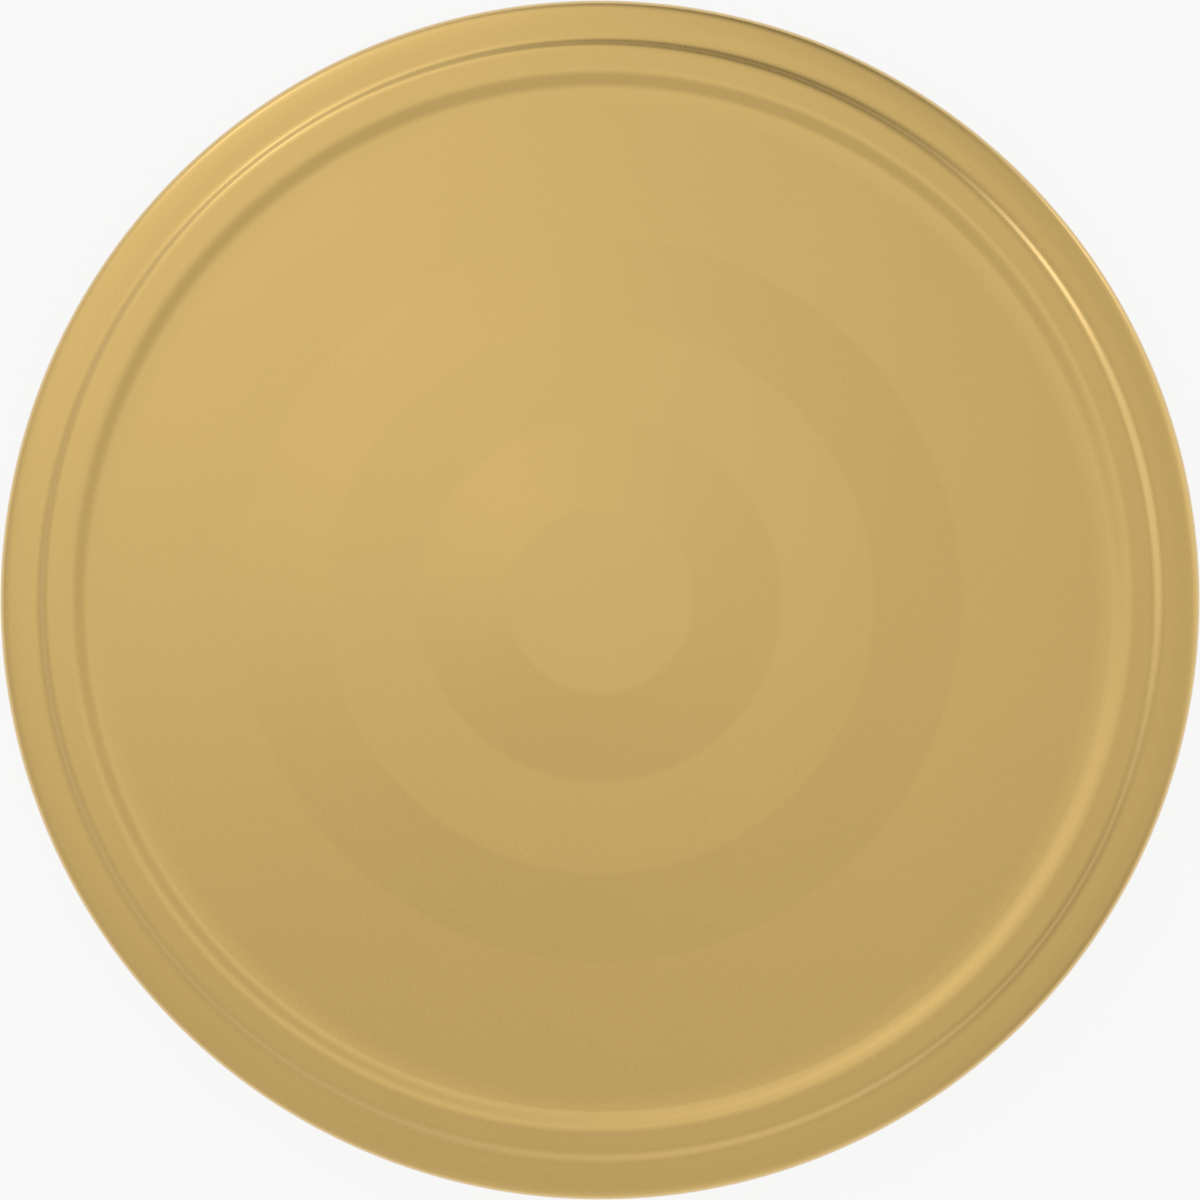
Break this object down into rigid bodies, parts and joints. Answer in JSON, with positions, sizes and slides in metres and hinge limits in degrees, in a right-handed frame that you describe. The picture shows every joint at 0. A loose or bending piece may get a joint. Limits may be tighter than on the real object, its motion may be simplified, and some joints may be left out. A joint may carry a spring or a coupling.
{
  "type": "twist-off lid",
  "caption": "Round lacquered tinplate twist-off lid with a stepped shoulder, a raised safety button, a rolled rim pressed into lugs and a cast sealing ring.",
  "frame": {"origin": "on the lid's axis, at the lowest point of the rolled rim", "axes": "+Z along the axis, from the open rim up to the top face; +X through the middle of a lug"},
  "size_m": [0.086, 0.0862, 0.0101],
  "materials": {
    "gold_lacquered_tinplate": "tinplate with a clear gold lacquer, satin, with a fine straight rolling grain",
    "sealing_compound": "smooth soft plastisol"
  },
  "bodies": {
    "root": {"lid_shell": "gold_lacquered_tinplate", "sealing_ring": "sealing_compound"}
  },
  "joints": []
}
